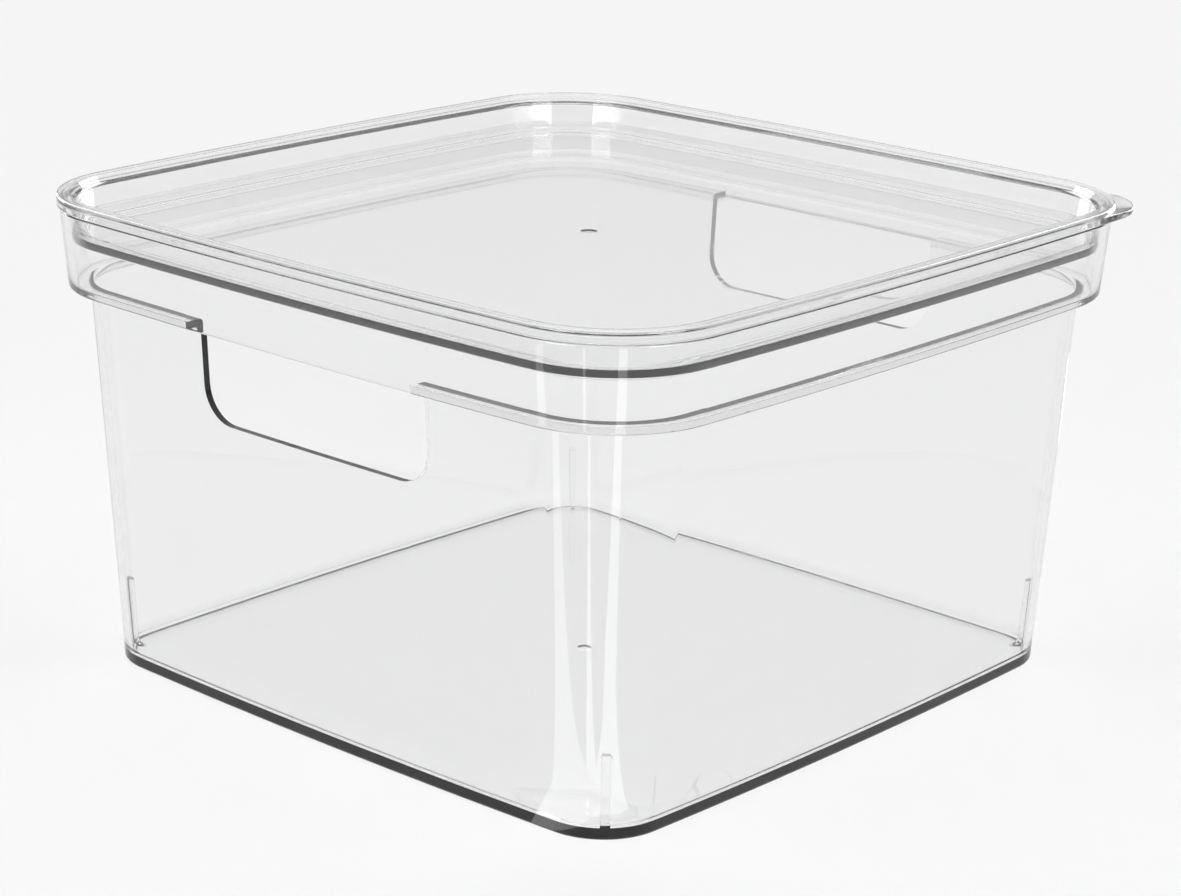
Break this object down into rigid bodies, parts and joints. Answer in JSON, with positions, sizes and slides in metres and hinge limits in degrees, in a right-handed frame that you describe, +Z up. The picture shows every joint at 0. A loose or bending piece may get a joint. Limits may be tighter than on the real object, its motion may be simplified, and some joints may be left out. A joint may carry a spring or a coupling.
{
  "type": "stackable storage bin",
  "caption": "Square clear plastic storage bin with a snap-in lid, hand-holes in opposite walls and a corner lifting tab.",
  "frame": {"origin": "middle of the underside, on the surface the bin stands on", "axes": "+Z up; the hand-holes face -Y and +Y; the lid's lifting tab is at the +X +Y corner"},
  "size_m": [0.254, 0.254, 0.15],
  "materials": {
    "bin_body": "clear, polished",
    "lid": "clear, polished"
  },
  "bodies": {
    "bin": {"bin_body": "bin_body"},
    "lid": {"lid": "lid"}
  },
  "joints": [
    {"name": "lid_lift", "type": "slide", "parent": "bin", "child": "lid", "axis": [0, 0, 1], "range_m": [0, 0.2]}
  ]
}
